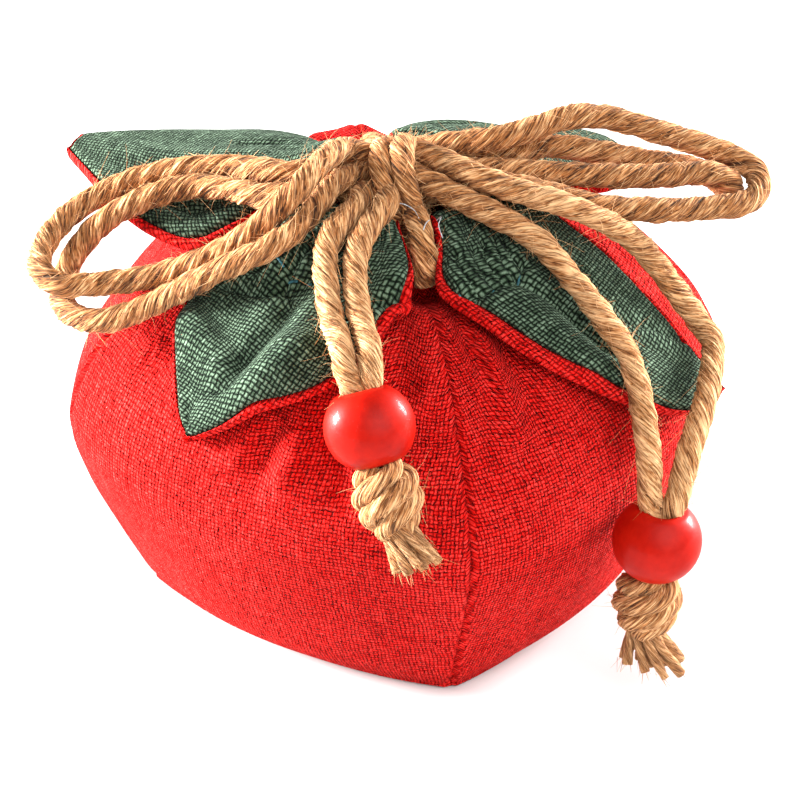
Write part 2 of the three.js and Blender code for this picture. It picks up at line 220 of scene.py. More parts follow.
# quads of a tube of points, with the row and the column of each corner
def tubeQuads(rows, sides):
    i, j = np.meshgrid(np.arange(rows - 1), np.arange(sides), indexing="ij")
    i = np.stack([i, i, i + 1, i + 1], -1).reshape(-1, 4)
    j = np.stack([j, j + 1, j + 1, j], -1).reshape(-1, 4)
    return i * sides + j % sides, i, j


# closed cloth wall between two grids of points
def wallFaces(rows, columns):
    size = rows * columns
    i, j = np.arange(rows - 1), np.arange(columns - 1)
    left, right = i * columns, i * columns + columns - 1
    low, high = j, (rows - 1) * columns + j
    sides = ((left, left + columns), (right + columns, right), (low + 1, low), (high, high + 1))
    rims = [np.stack([a, b, b + size, a + size], -1) for a, b in sides]
    return np.vstack([gridQuads(rows, columns), gridQuads(rows, columns, size, True), *rims])


def clothPiece(name, node, outside, inside, across, along, material):
    rows, columns = outside.shape[:2]
    faces = wallFaces(rows, columns)
    uv = np.stack([across, along], -1).reshape(-1, 2)
    uv = np.vstack([uv, uv])
    points = np.vstack([outside.reshape(-1, 3), inside.reshape(-1, 3)])
    piece = makePiece(name, points, faces.tolist(), uv[faces.ravel()], "weave", material)
    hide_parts(node)
    return piece


def wallArea(grid):
    side = grid[:-1, 1:] - grid[:-1, :-1]
    up = grid[1:, :-1] - grid[:-1, :-1]
    return np.linalg.norm(np.cross(side, up), axis=-1).sum() * mm * mm


# materials

# In both linen looks the gap colour is painted shade between the threads, and the crown colour is a painted highlight
# on their tops, pinkish on the red; low and thread are the threads' own colour.
redLinenLook = {
    "pitch": 0.64,  # mm from thread to thread
    "gap": (0.26, 0.001, 0.001), "low": (0.46, 0.003, 0.002),
    "thread": (0.67, 0.005, 0.003), "crown": (0.95, 0.05, 0.042), "stops": (0.10, 0.30, 0.54, 0.98),
    "relief": 0.0004, "crepe": 0.0021, "sheen": 0.025, "sheenTint": (1.0, 0.6, 0.55, 1),
}
greenLinenLook = {
    "pitch": 0.6,
    "gap": (0.0014, 0.0028, 0.0014), "low": (0.009, 0.018, 0.009),
    "thread": (0.036, 0.061, 0.034), "crown": (0.21, 0.30, 0.205), "stops": (0.12, 0.32, 0.57, 0.98),
    "relief": 0.0004, "crepe": 0.0005, "sheen": 0.05, "sheenTint": (0.8, 1.0, 0.85, 1),
}
weave = {
    "sway": 2.2, "drift": 2.0,  # how many threads the rows wander to the side
    "gap": 0.72, "slub": 0.9,  # open share beside a thread, and how far a thick place closes it
    "level": 0.6, "rise": 0.75,  # a thread rises over one neighbour and dips under the next
    "tone": 0.30, "slubTone": 0.45, "fibreTone": 0.45, "crepeTone": 0.35, "fadedTone": 0.3,
}


def linen(name, look):
    material, tree = newMaterial(name)
    uv, u, v = uvParts(tree, "weave")
    x = u * (1 / look["pitch"]) + (noise(tree, uv, 0.13) - 0.5) * weave["sway"]
    y = v * (1 / look["pitch"]) + (noise(tree, uv, 0.17, 3.0) - 0.5) * weave["drift"]
    # thick and thin places of single threads
    warpSlub = noise(tree, joinXyz(tree, x.calc("FLOOR") * 7.31, y * 0.11), 1.0)
    weftSlub = noise(tree, joinXyz(tree, x * 0.11, y.calc("FLOOR") * 5.17, 9.0), 1.0)
    sx, sy = (x * math.pi).calc("SINE"), (y * math.pi).calc("SINE")
    acrossWarp, acrossWeft = sx.calc("ABSOLUTE"), sy.calc("ABSOLUTE")

    # a round thread with open gaps beside it, that shows longer than it is wide
    def thread(across, slub, lift):
        solid = (across - (slub * -weave["slub"] + weave["gap"])).calc("MAXIMUM", 0.0)
        return solid.calc("POWER", 0.5) * (lift + weave["level"]).calc("MINIMUM", 1.0)

    over = (sx * sy).calc("SIGN")
    warp = thread(acrossWarp, warpSlub, over * acrossWeft * weave["rise"])
    weft = thread(acrossWeft, weftSlub, over * acrossWarp * -weave["rise"])
    height = warp.calc("MAXIMUM", weft)
    slub = weftSlub + (warpSlub - weftSlub) * warp.calc("GREATER_THAN", weft)
    fibre, crepe, faded = noise(tree, uv, 7.0), noise(tree, uv, 0.62, 3.0), noise(tree, uv, 0.06, 3.0)
    # The tone paints shade and light by the weave: darkest in the gaps, palest on the raised crowns, with the random
    # slub, fibre, crepe and faded tones on top.
    tone = height - weave["tone"] + slub * weave["slubTone"] + (fibre - 0.5) * weave["fibreTone"]
    tone = tone + (crepe - 0.5) * weave["crepeTone"] + (faded - 0.5) * weave["fadedTone"]
    colours = [look[key] for key in ("gap", "low", "thread", "crown")]
    soft = bump(tree, crepe, look["crepe"])
    return setShader(material, {
        "Base Color": ramp(tree, tone, list(zip(look["stops"], colours))),
        "Roughness": tone * -0.18 + 0.95,
        "Normal": bump(tree, height + (fibre + slub) * 0.3, look["relief"], Normal=soft),
        "Sheen Weight": look["sheen"], "Sheen Roughness": 0.5, "Sheen Tint": look["sheenTint"],
        "Specular IOR Level": 0.04,
    })


# The groove colour is painted shade in the grooves between plies and in the cracks between fibres; the pale colour is a
# painted highlight on the ply tops, mixed with the fibres' own streaks.
juteLook = {
    "groove": (0.04, 0.011, 0.002), "low": (0.24, 0.076, 0.019), "mid": (0.50, 0.198, 0.060),
    "pale": (0.88, 0.51, 0.245), "stops": (0.1, 0.33, 0.55, 0.92), "relief": 0.0005,
}


def juteMaterial(name, look):
    material, tree = newMaterial(name)
    _, u, v = uvParts(tree, "lay")
    mark = tree.nodes.new("ShaderNodeAttribute")
    mark.attribute_name = "groove"
    # The colour darkens with this value as painted shade towards the grooves; pale adds painted light on the tails,
    # knots and tassels.
    crown = Wire(tree, mark.outputs["Fac"])  # 0 in the groove between two plies, 1 on top of a ply
    turn = u * (2 * math.pi)
    c, s = turn.calc("COSINE"), turn.calc("SINE")

    # noise in long streaks, cells is how many lie round the rope
    def streaks(cells, perMm, seed, detail):
        size = cells / (2 * math.pi)
        return noise(tree, joinXyz(tree, c * size, s * size, v * perMm + seed), 1.0, detail, 0.6) - 0.5

    broad, hair, patch = streaks(12, 0.32, 0.0, 3.0), streaks(32, 0.75, 70.0, 2.0), streaks(2, 0.09, 40.0, 2.0)
    # painted shade: dark gaps between the fibres, in the colour and as dips in the bump
    crack = (streaks(26, 0.36, 120.0, 1.0).calc("ABSOLUTE") * -12.0 + 1.0).calc("MAXIMUM", 0.0)
    tone = crown * 0.5 + 0.31 + broad * 0.36 + hair * 1.1 + patch * 0.5 - crack * 0.34
    colours = [look[key] for key in ("groove", "low", "mid", "pale")]
    return setShader(material, {
        "Base Color": ramp(tree, tone, list(zip(look["stops"], colours))),
        "Roughness": hair * -0.3 + 0.85,
        "Normal": bump(tree, hair * 0.8 + broad - crack * 0.4, look["relief"]),
        "Sheen Weight": 0.12, "Sheen Tint": (1.0, 0.85, 0.6, 1), "Specular IOR Level": 0.25,
    })


lacquerLook = {"deep": (0.30, 0.003, 0.001), "bright": (0.52, 0.010, 0.003), "coat": 0.09, "scratch": 0.00003}


def lacquer(name, look):
    material, tree = newMaterial(name)
    place = addNode(tree, "ShaderNodeTexCoord", "Object")
    cloud, grain = noise(tree, place, 180.0, 4.0), noise(tree, place, 900.0, 3.0)
    stretched = addNode(tree, "ShaderNodeMapping", 0, Vector=place, Scale=(900, 900, 160), Rotation=(0.5, 0.9, 0))
    worn = noise(tree, stretched, 6.0).calc("GREATER_THAN", 0.7)
    return setShader(material, {
        "Base Color": ramp(tree, grain * 0.3 + cloud * 0.7, [(0.3, look["deep"]), (0.7, look["bright"])]),
        "Roughness": cloud * 0.2 + 0.32 + worn * 0.18,
        "Normal": bump(tree, grain + worn, look["scratch"]),
        "Coat Weight": look["coat"], "Coat Roughness": 0.12, "Specular IOR Level": 0.07,
    })


threadLook = {
    "dark": (0.004, 0.045, 0.06), "light": (0.02, 0.16, 0.19),
    "grey": (0.35, 0.36, 0.38), "pale": (0.75, 0.76, 0.78), "relief": 0.00008,
}


def sewingThread(name, dark, light):
    material, tree = newMaterial(name)
    twisted = noise(tree, addNode(tree, "ShaderNodeTexCoord", "Object"), 2600.0)
    return setShader(material, {
        "Base Color": ramp(tree, twisted, [(0.35, dark), (0.65, light)]),
        "Roughness": twisted * 0.3 + 0.45, "Normal": bump(tree, twisted, threadLook["relief"]),
    })


redLinen = linen("redLinen", redLinenLook)
greenLinen = linen("greenLinen", greenLinenLook)
jute = juteMaterial("jute", juteLook)
redLacquer = lacquer("redLacquer", lacquerLook)
tealThread = sewingThread("tealThread", threadLook["dark"], threadLook["light"])
paleThread = sewingThread("paleThread", threadLook["grey"], threadLook["pale"])
print("materials made")


# cords

cord = {
    "radius": 1.85, "plies": 3, "pitch": 13.0,  # mm for one turn of a ply
    "sides": 54, "step": 0.55,
    "uneven": 0.035, "slack": 0.16,  # how much the thickness and the turn of the plies vary
    "bundles": ((5, 0.35), (8, 0.45), (11, 0.45), (16, 0.4)),  # fibre bundles round the rope, and their share
    "fibre": 0.065,  # relief of the bundles
    "hairs": 7.5, "hairLength": 1.7,  # loose fibres on each mm
    "tailPaintedLight": 0.34,  # painted light: the tails are painted paler than the bow, which lies in shade
}

routes = {
    "strandLeftA": {
        "lead": [(4.6, -18.6, 61.6), (4.3, -18.2, 64.2), (3.7, -16.6, 66.3), (2.9, -12.8, 67.7), (2.1, -9.7, 67.5)],
        "inKnot": [(0.6, -6.4, 66.4), (-2.6, -2.4, 66.6)],
        "loop": [
            (-6.1, 0.8, 68), (-8.4, 0.2, 69.8), (-14, -4.5, 70.1), (-19.8, -2.2, 69.2), (-25.2, 1.3, 67.6),
            (-32.8, 3.2, 65.9), (-38.9, 3.2, 64.2), (-43.9, 1.9, 62.4), (-48.3, -0.6, 60.6), (-51.1, -4.2, 59.2),
            (-52.4, -8.4, 58.2), (-51.9, -12.5, 57.8), (-49.4, -15.1, 57.4), (-46.3, -14.8, 57.2),
            (-40.5, -14.9, 57.8), (-34.8, -15.4, 59.2), (-28.9, -16.1, 61.9), (-24.2, -16.5, 64.8),
            (-18.9, -16.6, 69.3), (-14.3, -14.6, 73.4), (-10.8, -9.6, 75), (-7.2, -1.8, 72.6),
        ],
        "acrossKnot": [(-3.4, -2.4, 71.4), (0, -4.4, 71)],
        "tail": [
            (2.9, -7.2, 71.2), (6.5, -10.4, 71.1), (12, -13.2, 69.6), (16.6, -14.8, 67.9), (21.2, -16.9, 65.6),
            (24.8, -19.8, 62.5), (27.7, -22, 59.8), (30.5, -24.3, 56.8), (33.2, -26, 53.5),
            (35, -29, 49.4), (36, -32.5, 45.2), (36.7, -35.6, 40), (36.9, -37.1, 34.6), (37.4, -37.4, 31),
        ],
        "nodes": ["lead_front_a", "loop_left_a", "tail_right_a"], "exit": 2,
    },
    "strandLeftB": {
        "lead": [(4.4, -18, 59.4), (4.1, -17.6, 60.9), (3.6, -16.2, 62.6), (2.6, -11.6, 64), (1.7, -7.8, 63.5),
                 (0.9, -5.4, 61.4)],
        "inKnot": [(-1.6, -4, 61.6)],
        "loop": [
            (-5.6, -3.2, 64.2), (-7.4, -3.9, 67), (-9.6, -5.8, 69.4), (-14, -9, 69.6), (-19.1, -8.2, 68.4),
            (-25.1, -3.9, 67.1), (-30.4, -1.3, 65.8), (-35.4, -1.2, 64.4), (-39.6, -1.7, 62.6),
            (-43.1, -2.5, 60.6), (-45.9, -3.8, 58.2), (-47.9, -5.2, 55.7), (-49.2, -7.2, 53.4), (-49.4, -10.2, 52.2),
            (-48.4, -13.4, 51.9), (-46, -16.2, 52.2), (-42.4, -17.9, 53), (-38.7, -18.4, 54.6), (-35, -18.8, 56.7),
            (-29.9, -19.9, 60.4), (-24.7, -20.7, 64), (-19.2, -21, 67), (-14, -17.5, 69), (-9, -9.4, 71.2),
            (-6.6, -5.8, 70.2),
        ],
        "acrossKnot": [(-3.6, -3.6, 70.2), (-0.6, -2.4, 71.8)],
        "tail": [
            (2.4, -3.1, 73.1), (6.2, -6.1, 73.5), (10.4, -9.2, 73.2), (14.9, -11.2, 72.2), (19.5, -12.5, 71.3),
            (23.8, -13.1, 70.3), (28.6, -12.9, 68), (32.7, -11.6, 64.8), (36.5, -9.6, 60), (41.2, -10.4, 53.6),
            (44.6, -11.6, 49), (46.6, -14.6, 47.2), (46.3, -20, 45.8), (45, -26.2, 43.8),
            (42.6, -32.5, 39.8), (40.8, -37.1, 34.6), (39.6, -37.5, 31),
        ],
        "nodes": ["lead_front_b", "loop_left_b", "tail_right_b"], "exit": 2,
    },
    "strandRightA": {
        "lead": [(-6.2, 4.6, 58.6), (-6, 5.1, 62.9), (-4.9, 5.6, 66.4), (-1.6, 4.7, 68.1)],
        "inKnot": [(0.4, 1.8, 69.6)],
        "loop": [
            (2.5, 0.2, 71.2), (6.5, -0.2, 72.2), (10.5, -0.9, 73.2), (14, -0.9, 73.6), (19.6, 1, 74.2),
            (25.4, 4.1, 74.5), (31.1, 5.8, 73.5), (36, 5.8, 72), (46.2, 6.1, 68.2), (50.8, 5.6, 66.5),
            (53.5, 3.3, 65.2), (53.7, 0.3, 64.5), (51.9, -2.7, 64), (45.8, -5, 64.4), (39.2, -7.2, 65.4),
            (32.8, -8, 66.2), (28.8, -8.4, 67), (21.1, -7.8, 69), (15.2, -6.9, 69.8),
            (10.5, -6.6, 69.7), (6.5, -6.2, 68.4), (3.6, -6.1, 67.6),
        ],
        "acrossKnot": [(0.4, -6.2, 66.8), (-2.8, -7, 67.4)],
        "tail": [
            (-4.6, -8.9, 69.4), (-5.6, -13.4, 70), (-7.8, -17.2, 69.7), (-9.6, -20.4, 68.5),
            (-10.2, -23.6, 67), (-9.9, -27.6, 64.8), (-8.9, -32.4, 61.7), (-7.9, -36.6, 61.2),
            (-7.4, -39.8, 60.4), (-6.4, -42, 58), (-5, -43.6, 55.6),
        ],
        "nodes": ["lead_back_a", "loop_right_a", "tail_left_a"], "exit": 1,
    },
    "strandRightB": {
        "lead": [(-4.3, 18, 59.4), (-4, 17.6, 60.9), (-3.6, 16.2, 62.6), (-2.4, 11.4, 64.1), (-0.7, 2.6, 64)],
        "inKnot": [(1.4, 0.6, 65.8)],
        "loop": [
            (3.4, 0.2, 67.8), (6.5, 0.8, 68.7), (10.9, 1.1, 70), (16.8, 1.4, 70.1), (22.5, 3, 70.2),
            (29.2, 3.7, 68.9), (36.1, 4.8, 66.7), (43, 6.5, 64.6), (46.4, 6.7, 63.2), (48.6, 5.3, 62.2),
            (49.8, 2.9, 63), (49.3, 1.4, 65.2), (46.3, 0.9, 66.8), (39.4, -1, 67.5), (33, -2.6, 68.4),
            (23.3, -3.4, 69.4), (16.2, -2.9, 69.6), (10.5, -2.8, 69.4), (6.5, -2.9, 67.3), (3.9, -3, 66),
        ],
        "acrossKnot": [(1.6, -4.6, 66.6), (0, -6.8, 68.6)],
        "tail": [
            (-0.8, -8.9, 70.2), (-1.5, -14, 70.4), (-3.8, -18.3, 69.6), (-5.5, -22.2, 68),
            (-5.8, -27.4, 65.1), (-4.9, -32.4, 62.2), (-4, -36.6, 61.4), (-3.6, -39.6, 60.6),
            (-3.6, -42, 58.4), (-3.7, -43.6, 55.8),
        ],
        "nodes": ["lead_back_b", "loop_right_b", "tail_left_b"], "exit": 2,
    },
}


# even steps along a centripetal curve through the points, in mm
def smoothRoute(points, step):
    perSpan, smoothings = 14, 6
    p = np.array(points, float)
    p = np.vstack([2 * p[0] - p[1], p, 2 * p[-1] - p[-2]])
    f = np.linspace(0, 1, perSpan, endpoint=False)[:, None]
    runs = []
    for p0, p1, p2, p3 in zip(p, p[1:], p[2:], p[3:]):
        d0, d1, d2 = (math.sqrt(np.linalg.norm(b - a)) for a, b in ((p0, p1), (p1, p2), (p2, p3)))
        leave = ((p1 - p0) / d0 - (p2 - p0) / (d0 + d1) + (p2 - p1) / d1) * d1
        arrive = ((p2 - p1) / d1 - (p3 - p1) / (d1 + d2) + (p3 - p2) / d2) * d1
        runs.append(hermite(f, p1, p2, leave, arrive))
    dense = np.vstack([*runs, p[-2:-1]])
    for _ in range(smoothings):  # takes the last kinks out
        dense[1:-1] = (dense[:-2] + 2 * dense[1:-1] + dense[2:]) / 4
    reach = arcLength(dense)
    even = np.linspace(0, reach[-1], max(4, int(reach[-1] / step)))
    return np.stack([np.interp(even, reach, dense[:, k]) for k in range(3)], -1), reach[-1]


# directions along and across a rope that don't turn about it
def carriedFrame(path):
    along = unit(np.gradient(path, axis=0))
    side = np.zeros_like(path)
    start = np.cross(along[0], (0.31, 0.2, 0.93))
    side[0] = start / np.linalg.norm(start)
    for k in range(1, len(path)):
        s = side[k - 1] - along[k] * (side[k - 1] @ along[k])
        side[k] = s / np.linalg.norm(s)
    return along, side, np.cross(along, side)


# value that wanders along a rope, drawn anew after each few mm
def wander(reach, every, size, carried=False):
    marks = np.arange(0, reach[-1] + 2 * every, every)
    draws = chance.normal(0, size, len(marks))
    return np.interp(reach, marks, np.cumsum(draws) if carried else draws)


# twisted rope along a path: points, faces, corner coordinates and the height of each point on its ply, plus pale; the
# colour uses this for painted shade in the grooves and painted light where pale is raised
def twist(path, radius, phase=0.0, plies=cord["plies"], pitch=cord["pitch"], sides=cord["sides"], lobe=0.19, pale=0.0):
    rows = len(path)
    _, side, up = carriedFrame(path)
    reach = arcLength(path)
    thick = 1 + wander(reach, 3, cord["uneven"])
    turn = phase - 2 * math.pi * reach / pitch + wander(reach, 4, cord["slack"], True)  # left-handed lay
    angle = 2 * math.pi * np.arange(sides) / sides
    inPly = angle % (2 * math.pi / plies) - math.pi / plies
    ply = lobe * np.cos(inPly) + np.sqrt((1 - lobe) ** 2 - (lobe * np.sin(inPly)) ** 2)
    crown = (ply - ply.min()) / (ply.max() - ply.min())
    fibres = sum(a * np.sin(n * angle[None, :] + wander(reach, 2.2, 0.9, True)[:, None])
                 for n, a in cord["bundles"] if 3 * n < sides)
    theta = angle[None, :] + turn[:, None]
    r = radius * ply[None, :] * thick[:, None] * (1 + cord["fibre"] * fibres)
    points = (path[:, None, :] + (r * np.cos(theta))[..., None] * side[:, None, :]
              + (r * np.sin(theta))[..., None] * up[:, None, :]).reshape(-1, 3)
    quads, i, j = tubeQuads(rows, sides)
    patternShift = 310 * phase  # no two ropes show the same streaks
    uv = np.stack([j.ravel() / sides, reach[i.ravel()] + patternShift], -1)
    # painted shade and light: low in the grooves between plies, high on the ply tops, lifted by pale
    height = 0.5 * crown[None, :] + 0.25 + 0.2 * fibres + np.broadcast_to(pale, rows)[:, None]
    return points, quads, uv, height.ravel()


# several twisted runs joined in one mesh, with closed ends
def ropePiece(name, runs, *nodes):
    points, faces, uvs, crowns, start = [], [], [], [], 0
    for p, q, uv, crown in runs:
        sides = int(q[0, 3] - q[0, 0])
        faces += (q + start).tolist()
        faces.append([start + k for k in range(sides)][::-1])
        faces.append([start + len(p) - sides + k for k in range(sides)])
        uvs += [uv, np.tile(uv[:1], (sides, 1)), np.tile(uv[-1:], (sides, 1))]
        points.append(p)
        crowns.append(crown)
        start += len(p)
    piece = makePiece(name, np.vstack(points), faces, np.vstack(uvs), "lay", jute, np.concatenate(crowns))
    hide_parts(*nodes)
    return piece


# thin loose fibres, each a three-sided hair that curves away from its start
def hairPiece(name, starts, ways, bends, lengths, thickness, tone):
    steps, sides = 4, 3
    count = len(starts)
    f = np.linspace(0, 1, steps + 1)
    path = (starts[:, None, :] + lengths[:, None, None] * (ways[:, None, :] * f[None, :, None]
            + bends[:, None, :] * (f ** 2)[None, :, None]))
    u = unit(np.cross(ways, chance.normal(0, 1, (count, 3))))
    w = np.cross(ways, u)
    angle = (2 * math.pi * np.arange(sides) / sides)[:, None]
    r = thickness[:, None] * (1 - 0.65 * f)  # thinner to the end
    ring = np.cos(angle) * u[:, None, None, :] + np.sin(angle) * w[:, None, None, :]
    points = (path[:, :, None, :] + r[:, :, None, None] * ring).reshape(-1, 3)
    first = np.arange(count)[:, None, None] * (steps + 1) * sides
    quads = (first + tubeQuads(steps + 1, sides)[0]).reshape(-1, 4)
    pick = chance.uniform(0, 1, count)
    uv = np.repeat(np.stack([pick, pick * 90], -1), steps * sides * 4, axis=0)
    crown = np.repeat(chance.uniform(tone - 0.35, tone, count), (steps + 1) * sides)
    piece = makePiece(name, points, quads.tolist(), uv, "lay", jute, crown)


# loose fibres standing off a rope
def fuzz(name, path, radius, reach=cord["hairLength"]):
    along, side, up = carriedFrame(path)
    count = int(len(path) * np.linalg.norm(path[1] - path[0]) * cord["hairs"])
    k = chance.integers(2, len(path) - 2, count)
    theta = chance.uniform(0, 2 * math.pi, count)
    out = np.cos(theta)[:, None] * side[k] + np.sin(theta)[:, None] * up[k]
    around = np.cross(along[k], out)
    starts = path[k] + out * radius * 0.85
    lean = chance.choice([-1, 1], count)[:, None]
    ways = unit(along[k] * lean * chance.uniform(0.5, 1.2, (count, 1)) + out * chance.uniform(0.1, 0.75, (count, 1))
                + around * chance.normal(0, 0.5, (count, 1)))
    bends = chance.normal(0, 0.5, (count, 3)).clip(-0.8, 0.8) - out * chance.uniform(-0.1, 0.35, (count, 1))
    lengths = chance.gamma(2.2, reach / 2.2, count).clip(0.4, reach * 2.4)
    hairPiece(name, starts, ways, bends, lengths, chance.uniform(0.025, 0.048, count), 1.25)


strands = {}
for name, route in routes.items():
    points = [p for part in ("lead", "inKnot", "loop", "acrossKnot", "tail") for p in route[part]]
    path, length = smoothRoute(points, cord["step"])
    tailStart = np.argmin(np.linalg.norm(path - route["tail"][0], axis=1))
    # painted light: the tails are painted paler than the bow
    pale = cord["tailPaintedLight"] * smoothStep(np.arange(len(path)), tailStart, tailStart + 40)
    strand = ropePiece(name, [twist(path, cord["radius"], chance.uniform(0, 1), pale=pale)], *route["nodes"])
    fuzz(name + "Fuzz", path, cord["radius"])
    strands[name] = {"piece": strand, "path": path, "length": length, "exit": route["lead"][route["exit"]]}
    print(name, "is", round(length, 1), "mm long")


# wrap of the bow

bowWrap = {
    "centre": (0.3, -5.6, 69.0), "tilt": 20, "turns": 2.15, "start": 153,
    "coil": 5.6, "dive": 0.6, "advance": 3.3, "radius": 1.8, "phase": 0.4,
}


def makeBowWrap():
    tilt = math.radians(bowWrap["tilt"])
    axis = np.array([math.cos(tilt), 0, math.sin(tilt)])
    side = np.array([0, -1.0, 0])
    up = np.cross(side, axis)
    f = np.linspace(0, 1, 40)
    turn = 2 * math.pi * bowWrap["turns"] * (f - 0.5) + math.radians(bowWrap["start"])
    dive = 1 - bowWrap["dive"] * (smoothStep(f, 0.12, 0) + smoothStep(f, 0.88, 1))  # both ends go into the knot
    shift = (f - 0.5) * bowWrap["advance"] * bowWrap["turns"]
    coil = bowWrap["coil"] * dive
    points = (np.array(bowWrap["centre"]) + shift[:, None] * axis
              + (coil * np.cos(turn))[:, None] * side + (coil * np.sin(turn))[:, None] * up)
    path, _ = smoothRoute(points, cord["step"])
    piece = ropePiece("bowWrap", [twist(path, bowWrap["radius"], bowWrap["phase"])], "bow_knot")
    fuzz("bowWrapFuzz", path, bowWrap["radius"])
    return piece


wrapPiece = makeBowWrap()
print("bow wrapped")


# beads, overhand knots and frayed ends

pendants = {
    "Left": {"bead": (-3.7, -44.8, 52.5), "down": (0.25, -0.46, -0.85), "spin": 0.3, "flare": 1.1, "lean": 1.6},
    "Right": {"bead": (38.1, -37.5, 27.6), "down": (-0.12, -0.06, -1), "spin": 1.1, "flare": 1.5, "lean": 2.6},
}
bead = {
    "radius": 6.6, "squash": 0.975, "bore": 3.2, "rings": 56, "around": 104,
    "lip": 0.55, "lipIn": 0.25, "lipDown": 0.12,  # the mouth of the bore is rounded over
    "boreIn": 0.35, "boreDown": 0.9,
}
knot = {
    "top": -5.2, "bottom": -15.2, "strands": 3, "turns": 1.15, "radius": 1.6, "core": 2.1,
    "coil": (1.4, 2.9, 3.5, 3.5, 2.8, 1.4),  # from the top down
    # pale is painted light: the knots are painted paler than the bow
    "pale": 0.2, "hairLength": 1.2,
}
tassel = {
    # pale is painted light: the tassels are painted paler than the bow
    "top": -13.8, "end": -21.4, "plyRadius": 0.78, "pale": 0.26, "hairs": 320, "hairTone": 0.95,
    "rings": ((4, 0.8, 1.4), (9, 1.75, 2.9)),  # count, radius at the top and at the end
}


# points beside the line that hangs from a bead, z is up along it
def pendantPoints(pendant, x, y, z):
    up = -unit(np.array(pendant["down"], float))
    right = unit(np.cross((0, 1.0, 0), up))
    back = np.cross(up, right)
    return np.array(pendant["bead"]) + x[:, None] * right + y[:, None] * back + z[:, None] * up


def makeBead(side, pendant):
    first = math.asin(bead["bore"] / bead["radius"])
    angle = np.linspace(first, math.pi - first, bead["rings"])
    r, z = bead["radius"] * np.sin(angle), bead["radius"] * np.cos(angle)
    mouth = smoothStep(np.abs(z), z[0] - bead["lip"], z[0])
    inner, depth = [bead["bore"] - bead["boreIn"]], z[0] - bead["boreDown"]
    r = np.concatenate([inner, r - mouth * bead["lipIn"], inner])
    z = np.concatenate([[depth], z - np.sign(z) * mouth * bead["lipDown"], [-depth]]) * bead["squash"]
    rows, around = len(r), bead["around"]
    theta = 2 * math.pi * np.arange(around) / around
    x, y = (r[:, None] * np.cos(theta)).ravel(), (r[:, None] * np.sin(theta)).ravel()
    points = pendantPoints(pendant, x, y, np.repeat(z, around))
    # the last ring joins the first through the bore, and the faces look outwards
    quads, i, j = (corners[:, [0, 3, 2, 1]] for corners in tubeQuads(rows + 1, around))
    uv = np.stack([j.ravel() / around, i.ravel() / (rows + 1)], -1)
    piece = makePiece("bead" + side, points, (quads % len(points)).tolist(), uv, "turned", redLacquer)
    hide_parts("bead_" + side.lower())
    return piece


def makeKnot(side, pendant):
    f = np.linspace(0, 1, 36)
    coil = column(knot["coil"], f)
    z = knot["top"] + (knot["bottom"] - knot["top"]) * f
    runs, paths = [], []
    for k in range(knot["strands"]):
        turn = pendant["spin"] + 2 * math.pi * (k / knot["strands"] - knot["turns"] * f)
        path, _ = smoothRoute(pendantPoints(pendant, coil * np.cos(turn), coil * np.sin(turn), z), 0.5)
        runs.append(twist(path, knot["radius"], k / 5, pale=knot["pale"]))
        paths.append(path)
    core, _ = smoothRoute(pendantPoints(pendant, 0 * f, 0 * f, z), 0.8)
    runs.append(twist(core, knot["core"], sides=24))
    piece = ropePiece("knot" + side, runs, "knot_" + side.lower())
    for letter, path in zip("ABC", paths):
        fuzz("knot" + side + "Fuzz" + letter, path, knot["radius"], knot["hairLength"])
    return piece


def makeTassel(side, pendant):
    runs, ends, ways = [], [], []
    f = np.linspace(0, 1, 8)
    for count, first, last in tassel["rings"]:
        for k in range(count):
            turn = 2 * math.pi * k / count + pendant["spin"] + 0.5 * f + chance.normal(0, 0.07)
            reach = first + (last * pendant["flare"] * chance.uniform(0.85, 1.1) - first) * f ** 1.3
            end = tassel["end"] + chance.uniform(-0.1, 0.9)
            z = tassel["top"] + (end - tassel["top"]) * f
            x, y = reach * np.cos(turn) + pendant["lean"] * f, reach * np.sin(turn)
            path, _ = smoothRoute(pendantPoints(pendant, x, y, z), 0.35)
            size = tassel["plyRadius"] * chance.uniform(0.85, 1.15)
            runs.append(twist(path, size, chance.uniform(0, 1), 2, 12, 26, 0.2, tassel["pale"]))
            ends.append(path[-1])
            ways.append(unit(path[-1] - path[-5]))
    piece = ropePiece("tassel" + side, runs, "tassel_" + side.lower())
    pick = chance.integers(0, len(ends), tassel["hairs"])
    count = len(pick)
    ends, ways = np.array(ends)[pick], np.array(ways)[pick]
    starts = ends + chance.normal(0, 0.4, ends.shape) - ways * chance.uniform(0.2, 4.5, (count, 1))
    lean = unit(ways + chance.normal(0, 0.25, ways.shape))
    bends = chance.normal(0, 0.15, ends.shape)
    lengths = chance.gamma(3, 0.45, count).clip(0.4, 2.6)
    thickness = chance.uniform(0.03, 0.06, count)
    hairPiece("tassel" + side + "Fray", starts, lean, bends, lengths, thickness, tassel["hairTone"])
    return piece


for side, pendant in pendants.items():
    [make(side, pendant) for make in (makeBead, makeKnot, makeTassel)]
print("beads, knots and tassels hung")

for name, strand in strands.items():
    tuple(v * mm for v in strand["exit"])
    strand["length"] * mm
    (strand["path"][::3] * mm).tolist()


# body of four gores

